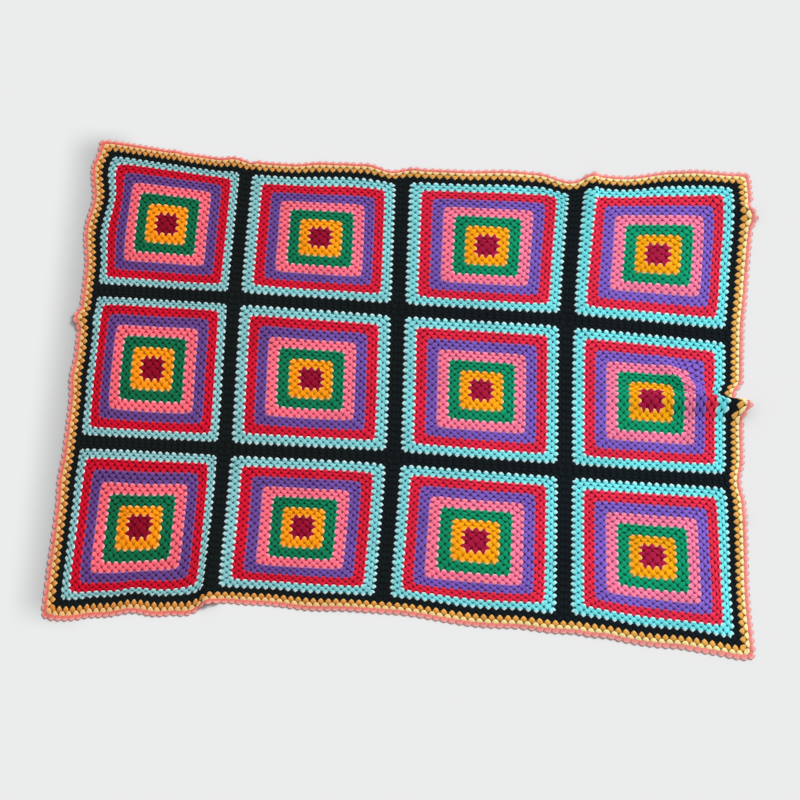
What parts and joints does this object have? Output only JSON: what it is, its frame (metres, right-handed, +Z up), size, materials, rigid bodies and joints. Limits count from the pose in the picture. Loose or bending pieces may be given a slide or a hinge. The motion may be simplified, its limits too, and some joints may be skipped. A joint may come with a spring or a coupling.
{
  "type": "granny square blanket",
  "caption": "Crocheted granny square blanket: bright nested squares, black joins and a scalloped striped border, lying flat with low folds.",
  "frame": {"origin": "centre of the blanket's bounding box, on the surface it lies on", "axes": "+X along the long side, +Y towards the far long edge, +Z up"},
  "size_m": [1.7138, 1.37, 0.0337],
  "materials": {
    "square_yarn": "matt yarn in nested colour bands: maroon, orange, green, pink, purple, red, turquoise",
    "black_yarn": "matt black yarn",
    "amber_yarn": "matt amber yarn",
    "cream_yarn": "matt pale yellow yarn",
    "coral_yarn": "matt coral pink yarn"
  },
  "bodies": {
    "root": {"square_r1c1": "square_yarn", "square_r1c2": "square_yarn", "square_r1c3": "square_yarn", "square_r1c4": "square_yarn", "square_r2c1": "square_yarn", "square_r2c2": "square_yarn", "square_r2c3": "square_yarn", "square_r2c4": "square_yarn", "square_r3c1": "square_yarn", "square_r3c2": "square_yarn", "square_r3c3": "square_yarn", "square_r3c4": "square_yarn", "lattice_black": "black_yarn", "border_amber": "amber_yarn", "border_cream": "cream_yarn", "edging_coral": "coral_yarn"}
  },
  "joints": []
}
